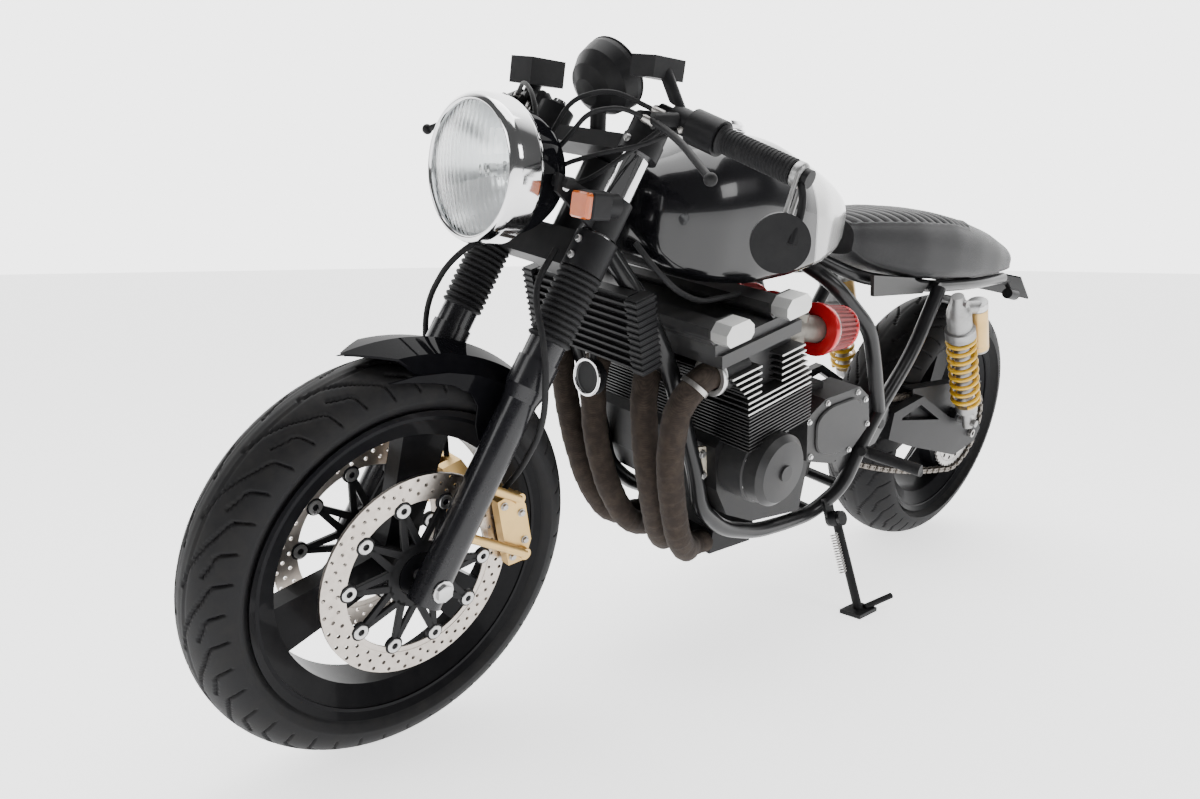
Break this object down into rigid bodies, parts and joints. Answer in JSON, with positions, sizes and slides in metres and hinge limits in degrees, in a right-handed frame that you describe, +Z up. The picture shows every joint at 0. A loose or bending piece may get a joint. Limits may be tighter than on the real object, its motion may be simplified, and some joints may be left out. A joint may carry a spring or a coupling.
{
  "type": "cafe racer motorcycle",
  "caption": "Air-cooled four-cylinder cafe racer motorcycle resting on its side stand, with turning wheels, steering fork and folding stand.",
  "frame": {"origin": "on the floor below the middle of the machine's bounding box", "axes": "+X forward, +Y to the rider's left, +Z up; the machine leans to its left on its stand"},
  "size_m": [2.1239, 0.7401, 1.0254],
  "materials": {
    "tyre": "satin black rubber",
    "wheel_black": "gloss black enamel",
    "disc_steel": "brushed",
    "chain_steel": "oiled",
    "frame_black": "satin black",
    "tank_paint": "gloss black with a grey rear section",
    "cap": "satin",
    "seat_leather": "ribbed leather",
    "cover_grey": "satin grey",
    "engine_black": "satin black with bright fin edges",
    "cam_silver": "satin silver ends",
    "cover_dark": "satin grey",
    "carb_metal": "cast",
    "filter_red": "pleated red",
    "pipe_wrap": "dark heat wrap",
    "silencer_black": "matt black",
    "cooler_black": "matt black",
    "axle_steel": "machined",
    "shock_metal": "anodised",
    "spring_yellow": "yellow powder coat",
    "fork_black": "satin black",
    "fork_chrome": "polished",
    "rubber": "matt",
    "controls_black": "satin black",
    "caliper_gold": "gold anodised",
    "chrome": "polished",
    "lens": "fluted clear glass"
  },
  "bodies": {
    "chassis": {"drive_chain": "chain_steel", "main_frame": "frame_black", "seat_frame": "frame_black", "crankcase": "engine_black", "cylinder_block": "engine_black", "cam_cover": "cam_silver", "engine_covers": "cover_dark", "carburettors": "carb_metal", "air_filters": "filter_red", "exhaust_headers": "pipe_wrap", "silencer": "silencer_black", "oil_cooler": "cooler_black", "swingarm": "frame_black", "rear_axle": "axle_steel", "shock_bodies": "shock_metal", "shock_springs": "spring_yellow", "fuel_tank": "tank_paint", "fuel_cap": "cap", "seat": "seat_leather", "side_covers": "cover_grey", "plate_holder": "frame_black", "footrests": "frame_black"},
    "steering": {"fork_sliders": "fork_black", "fork_tubes": "fork_chrome", "fork_gaiters": "rubber", "fork_clamps": "frame_black", "front_axle": "axle_steel", "front_fender": "tank_paint", "front_calipers": "caliper_gold", "handlebars": "controls_black", "grips": "rubber", "switchgear": "controls_black", "levers": "controls_black", "mirror": "controls_black", "headlamp_bowl": "controls_black", "headlamp_rim": "chrome", "headlamp_lens": "lens", "lamp_brackets": "frame_black", "gauge": "controls_black", "brake_hoses": "rubber"},
    "front_wheel": {"front_tyre": "tyre", "front_rim": "wheel_black", "front_discs": "disc_steel"},
    "rear_wheel": {"rear_tyre": "tyre", "rear_rim": "wheel_black", "rear_disc": "disc_steel", "rear_sprocket": "chain_steel"},
    "side_stand": {"stand_leg": "frame_black"}
  },
  "joints": [
    {"name": "steering", "type": "hinge", "parent": "chassis", "child": "steering", "pos_m": [0.5086, -0.02609, 0.71914], "axis": [-0.4379, 0.1588, 0.8849], "range_deg": [-31, 29]},
    {"name": "front_wheel_spin", "type": "hinge", "parent": "steering", "child": "front_wheel", "pos_m": [0.76416, -0.10164, 0.29413], "axis": [-0.0158, 0.9828, -0.1842], "continuous": true},
    {"name": "rear_wheel_spin", "type": "hinge", "parent": "chassis", "child": "rear_wheel", "pos_m": [-0.75082, -0.10004, 0.30792], "axis": [-0.0001, 0.9843, -0.1767], "continuous": true},
    {"name": "side_stand_fold", "type": "hinge", "parent": "chassis", "child": "side_stand", "pos_m": [-0.16589, 0.04262, 0.18545], "axis": [0.018, 0.9581, 0.2858], "range_deg": [0, 95]}
  ]
}
